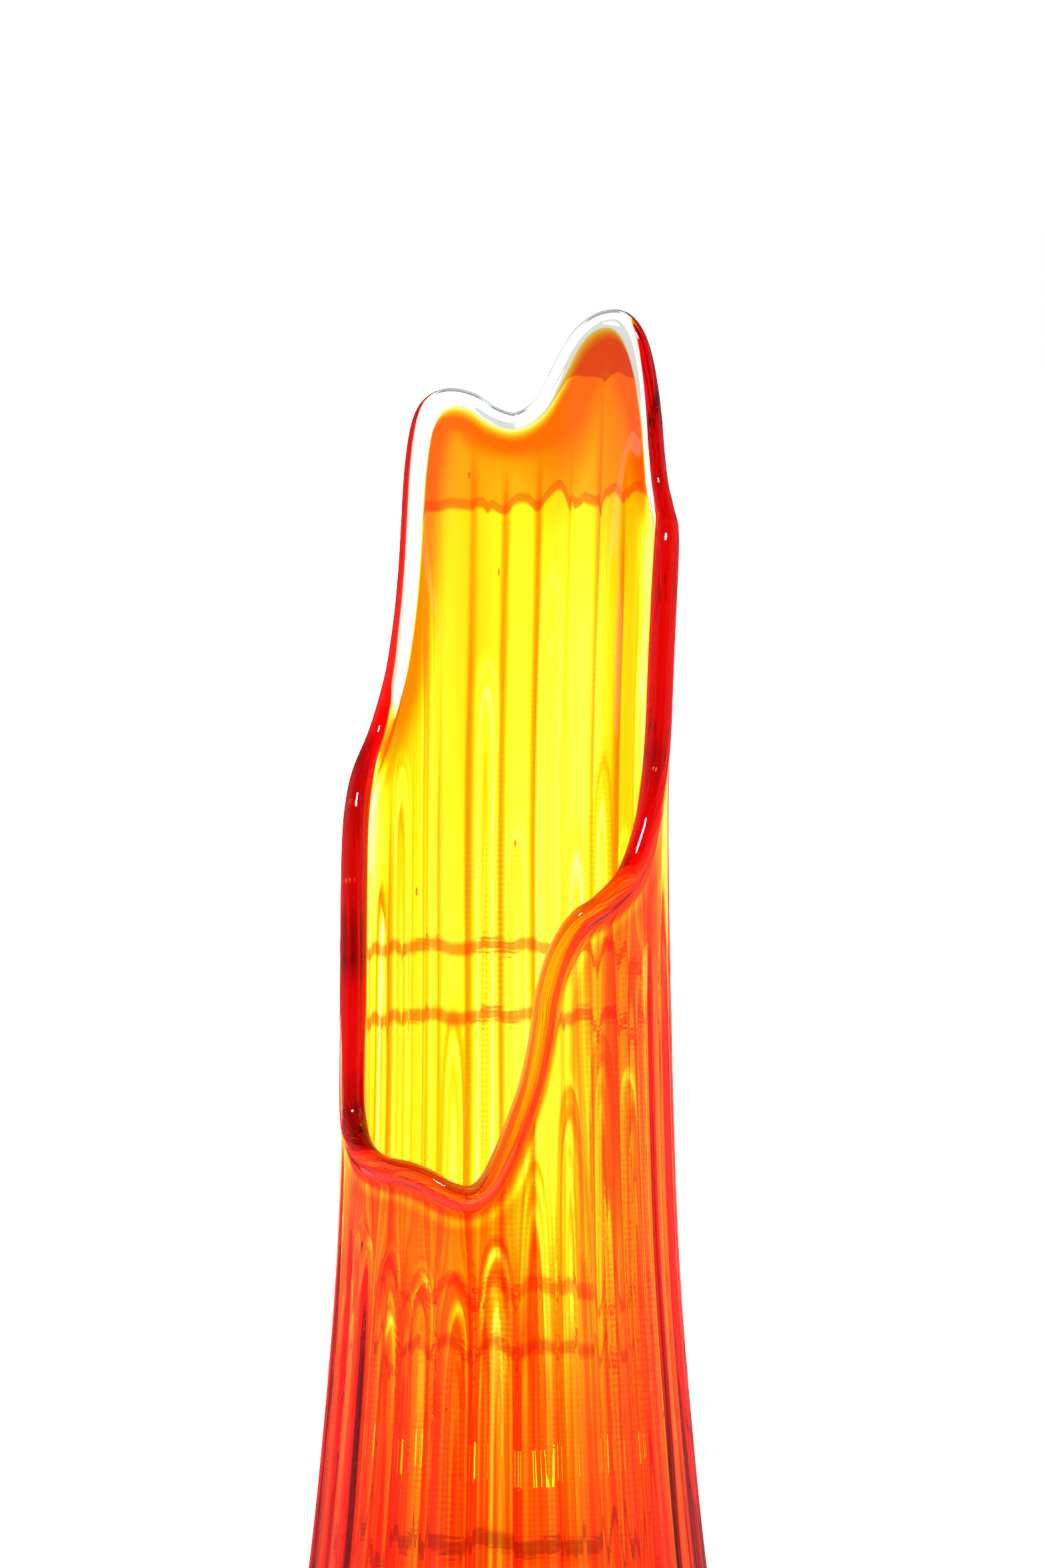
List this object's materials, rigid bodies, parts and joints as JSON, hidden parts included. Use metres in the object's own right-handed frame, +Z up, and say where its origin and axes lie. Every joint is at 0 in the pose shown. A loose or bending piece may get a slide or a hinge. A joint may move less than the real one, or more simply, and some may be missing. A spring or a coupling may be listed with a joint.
{
  "type": "stretched art glass vase",
  "caption": "Tall hand blown vase of cased amber-orange glass with optic ribs, a deep sheared front notch, a clear rolled lip and a heavy ground base.",
  "frame": {"origin": "centre of the ground resting ring, on the surface that the vase stands on", "axes": "+Z up along the vase; -Y is the side that the deep notch of the rim faces; +X is to the right of someone who looks at the notch"},
  "size_m": [0.1562, 0.1562, 0.6014],
  "materials": {
    "base_glass": "fire-polished, ground flat where it rests",
    "casing_glass": "fire-polished, optic ribs",
    "lining_glass": "smooth, transparent orange",
    "lip_glass": "fire-polished, clear"
  },
  "bodies": {
    "root": {"base_gather": "base_glass", "outer_casing": "casing_glass", "colour_lining": "lining_glass", "clear_lip": "lip_glass"}
  },
  "joints": []
}
